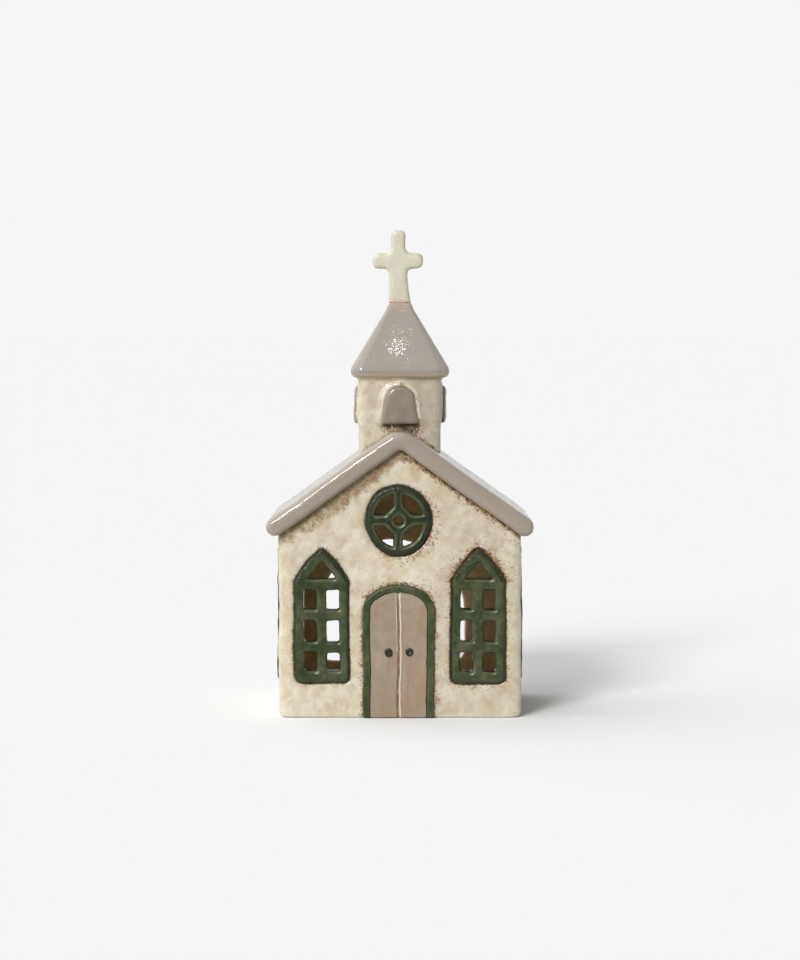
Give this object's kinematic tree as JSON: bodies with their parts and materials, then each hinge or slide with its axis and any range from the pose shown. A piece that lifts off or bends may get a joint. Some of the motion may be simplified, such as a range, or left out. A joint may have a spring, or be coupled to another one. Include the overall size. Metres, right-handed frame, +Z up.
{
  "type": "church tealight holder",
  "caption": "Glazed stoneware church with pierced windows, a bell tower and spire, and a round-headed back opening that takes a tealight.",
  "frame": {"origin": "middle of the footprint, on the surface that the church stands on", "axes": "+Z up to the cross; -Y is the front with the door, +Y the back with the opening; +X is to the right seen from the front"},
  "size_m": [0.12, 0.1, 0.22],
  "materials": {
    "cream_glaze": "glossy mottled",
    "ivory_glaze": "glossy",
    "taupe_glaze": "glossy",
    "green_glaze": "glossy",
    "door_glaze": "glossy streaked",
    "bare_clay": "matt",
    "foil": "satin",
    "wax": "waxy",
    "wick_cotton": "braided"
  },
  "bodies": {
    "church": {"back_wall": "cream_glaze", "cross": "ivory_glaze", "door_knob_left": "green_glaze", "door_knob_right": "green_glaze", "door_leaf_left": "door_glaze", "door_leaf_right": "door_glaze", "door_surround": "green_glaze", "floor_slab": "bare_clay", "front_wall": "cream_glaze", "lancet_window_left": "green_glaze", "lancet_window_right": "green_glaze", "roof_slope_left": "taupe_glaze", "roof_slope_right": "taupe_glaze", "rose_window": "green_glaze", "side_wall_left": "cream_glaze", "side_wall_right": "cream_glaze", "side_window_left_back": "green_glaze", "side_window_left_front": "green_glaze", "side_window_right_back": "green_glaze", "side_window_right_front": "green_glaze", "spire": "taupe_glaze", "tower_cornice": "cream_glaze", "tower_shaft": "cream_glaze", "tower_shutter_back": "taupe_glaze", "tower_shutter_front": "taupe_glaze", "tower_shutter_left": "taupe_glaze", "tower_shutter_right": "taupe_glaze", "tower_window_surround_back": "cream_glaze", "tower_window_surround_front": "cream_glaze", "tower_window_surround_left": "cream_glaze", "tower_window_surround_right": "cream_glaze"},
    "tealight": {"tealight_cup": "foil", "tealight_wax": "wax", "wick_tab": "foil", "wick": "wick_cotton"}
  },
  "joints": [
    {"name": "tealight_out", "type": "slide", "parent": "church", "child": "tealight", "axis": [0, 0.866, 0.5], "range_m": [0, 0.1]}
  ]
}
